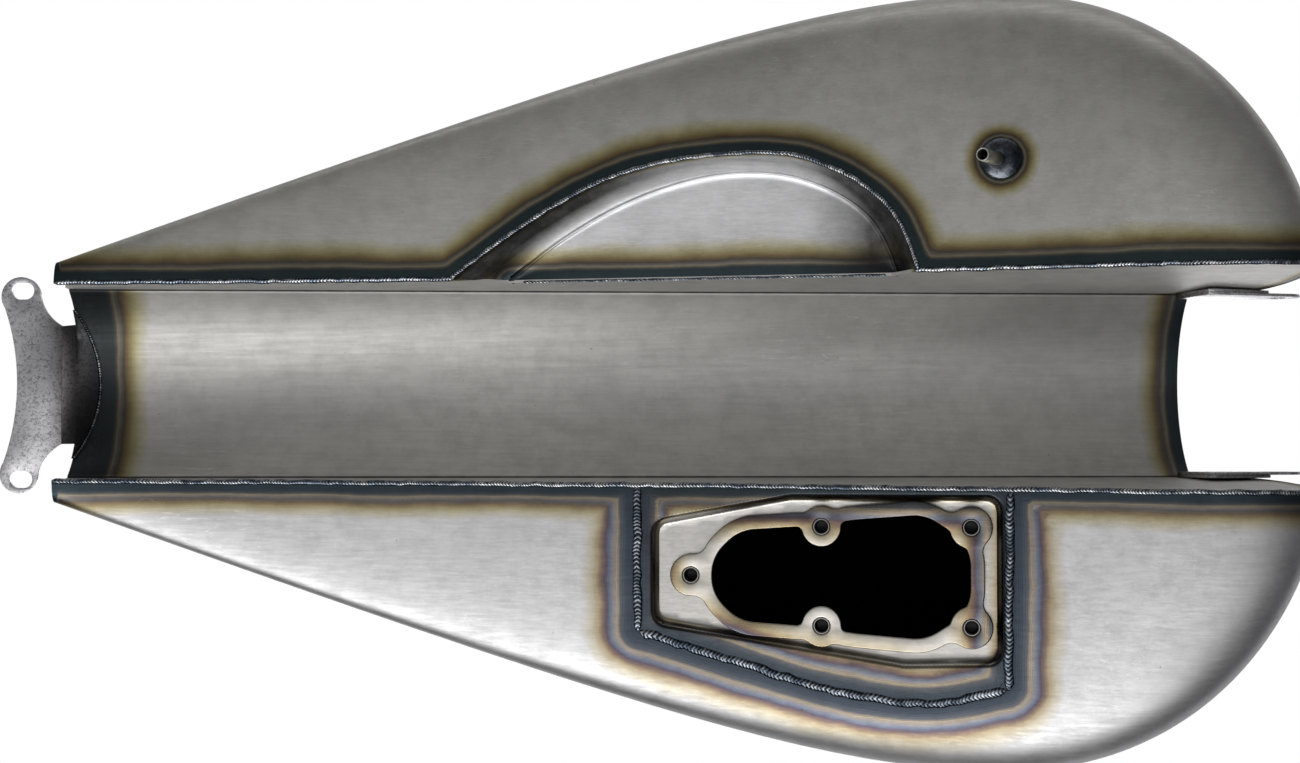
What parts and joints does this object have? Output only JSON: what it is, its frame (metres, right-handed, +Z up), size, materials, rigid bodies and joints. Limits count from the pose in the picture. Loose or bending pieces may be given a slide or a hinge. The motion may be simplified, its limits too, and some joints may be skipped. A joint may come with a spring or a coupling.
{
  "type": "motorcycle fuel tank",
  "caption": "Stretched teardrop fuel tank in bare welded steel, with a frame tunnel, relief pocket, pump flange, mounting tabs and a flush pop-up screw cap.",
  "frame": {"origin": "on the front mounting bolt's axis, midway between the two front tabs", "axes": "+X to the motorcycle's front, +Y to the rider's left along the front bolt, +Z up"},
  "size_m": [0.6833, 0.384, 0.2194],
  "materials": {
    "raw_steel": "bare mill-finish sheet steel with heat tint beside the welds",
    "tunnel_steel": "bare rolled sheet steel",
    "pitted_steel": "dull pitted plate",
    "brushed_panel": "brushed pressed panel with straw and blue heat tint",
    "flange_steel": "brushed flange ring",
    "insert_steel": "dark threaded insert",
    "tube_steel": "drawn tube",
    "weld_steel": "heat-darkened weld",
    "neck_steel": "turned steel",
    "cap_aluminium": "turned aluminium",
    "cap_chrome": "polished chrome",
    "spring_steel": "spring steel",
    "black_rubber": "black fuel-proof rubber"
  },
  "bodies": {
    "tank": {"shell_left": "raw_steel", "shell_right": "raw_steel", "tunnel_arch": "tunnel_steel", "tunnel_side_left": "tunnel_steel", "tunnel_side_right": "tunnel_steel", "neck_panel": "raw_steel", "tail_panel": "raw_steel", "rear_mount_bracket": "pitted_steel", "relief_pocket": "brushed_panel", "pump_panel": "brushed_panel", "pump_flange_ring": "flange_steel", "pump_screw_inserts": "insert_steel", "vent_tube": "tube_steel", "vent_boss": "weld_steel", "filler_neck": "neck_steel", "front_tab_left": "pitted_steel", "front_tab_right": "pitted_steel", "front_tab_doubler_left": "pitted_steel", "front_tab_doubler_right": "pitted_steel"},
    "cap_carrier": {"cap_gasket": "black_rubber"},
    "cap": {"cap_body": "cap_aluminium", "cap_circlip": "spring_steel", "cap_detent_balls": "spring_steel", "cap_vent_valve": "black_rubber", "cap_cover_seal": "black_rubber", "cap_spring": "spring_steel"},
    "cap_top": {"cap_cover": "cap_chrome"}
  },
  "joints": [
    {"name": "cap_lift", "type": "slide", "parent": "tank", "child": "cap_carrier", "axis": [0, 0, 1], "range_m": [0, 0.006]},
    {"name": "cap_turn", "type": "hinge", "parent": "cap_carrier", "child": "cap", "pos_m": [-0.161, 0, 0.1], "axis": [0, 0, 1], "range_deg": [0, 540]},
    {"name": "cap_pop", "type": "slide", "parent": "cap", "child": "cap_top", "axis": [0, 0, 1], "range_m": [0, 0.01], "deforming": ["cap_spring"]}
  ],
  "couplings": [
    {"joint": "cap_lift", "follows": "cap_turn", "m_per_rad": 0.00063662}
  ]
}
